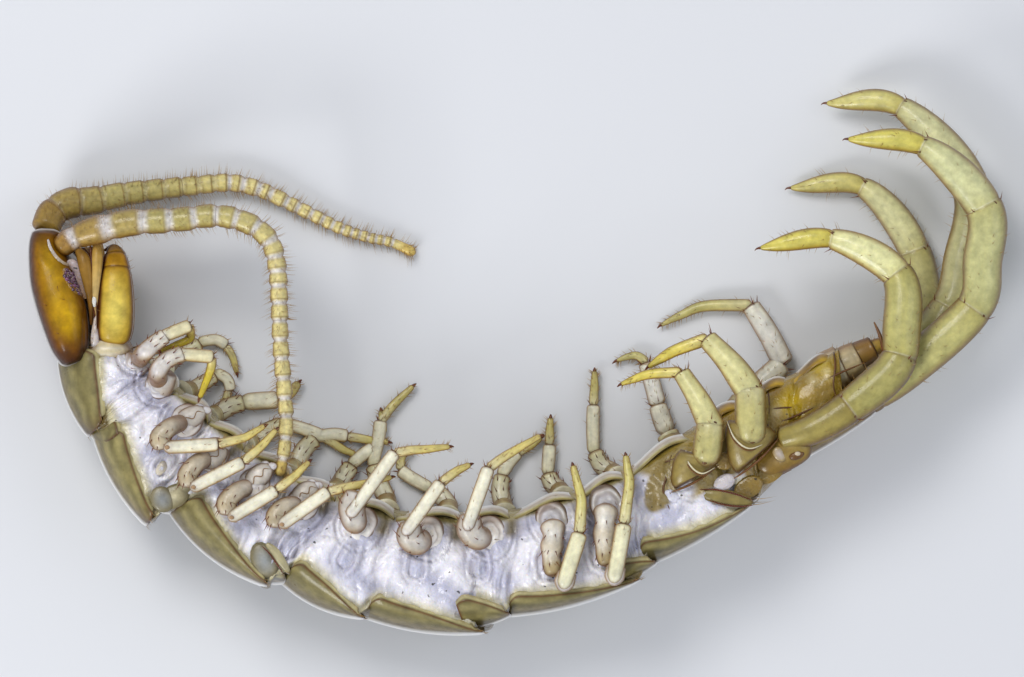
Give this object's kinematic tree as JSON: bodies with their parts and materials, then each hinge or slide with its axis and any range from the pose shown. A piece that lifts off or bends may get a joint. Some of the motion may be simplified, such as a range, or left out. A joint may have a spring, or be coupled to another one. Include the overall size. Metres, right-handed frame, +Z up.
{
  "type": "lithobius atkinsoni",
  "caption": "Still museum model of a stone centipede lying curled on its left side, with its antennae and all its legs spread.",
  "frame": {"origin": "on the floor, in the middle of the model's footprint", "axes": "+X runs from the head's side to the tail's side, +Y from the back of the curled trunk to its legs, +Z up from the floor, out of the animal's right flank"},
  "size_m": [0.014, 0.0078, 0.0025],
  "materials": {
    "head_shell": "glossy amber-brown horn",
    "eye": "dark, wet-looking",
    "mouth": "cream, satin",
    "forcipule": "glossy golden yellow horn",
    "antenna": "khaki yellow with paler joints",
    "trunk": "pale wet membrane under olive plates",
    "last_trunk": "amber, satin",
    "leg": "cream to straw yellow, satin",
    "last_leg": "straw yellow, satin"
  },
  "bodies": {
    "root": {"head": "head_shell", "ocelli_right": "eye", "ocelli_left": "eye", "mouthparts": "mouth", "forcipular_segment": "mouth", "forcipule_right": "forcipule", "forcipule_left": "forcipule", "antenna_right_1": "antenna", "antenna_right_2": "antenna", "antenna_right_3": "antenna", "antenna_left_1": "antenna", "antenna_left_2": "antenna", "antenna_left_3": "antenna", "segment_01": "trunk", "segment_02": "trunk", "segment_03": "trunk", "segment_04": "trunk", "segment_05": "trunk", "segment_06": "trunk", "segment_07": "trunk", "segment_08": "trunk", "segment_09": "trunk", "segment_10": "trunk", "segment_11": "trunk", "segment_12": "trunk", "segment_13": "trunk", "segment_14": "last_trunk", "segment_15": "last_trunk", "terminal_segment": "last_trunk", "leg_right_01": "leg", "leg_right_02": "leg", "leg_right_03": "leg", "leg_right_04": "leg", "leg_right_05": "leg", "leg_right_06": "leg", "leg_right_07": "leg", "leg_right_08": "leg", "leg_right_09": "leg", "leg_right_10": "leg", "leg_right_11": "leg", "leg_right_12": "last_leg", "leg_right_13": "last_leg", "leg_right_14": "last_leg", "leg_right_15": "last_leg", "leg_left_01": "leg", "leg_left_02": "leg", "leg_left_03": "leg", "leg_left_04": "leg", "leg_left_05": "leg", "leg_left_06": "leg", "leg_left_07": "leg", "leg_left_08": "leg", "leg_left_09": "leg", "leg_left_10": "leg", "leg_left_11": "leg", "leg_left_12": "last_leg", "leg_left_13": "last_leg", "leg_left_14": "last_leg", "leg_left_15": "last_leg"}
  },
  "joints": []
}
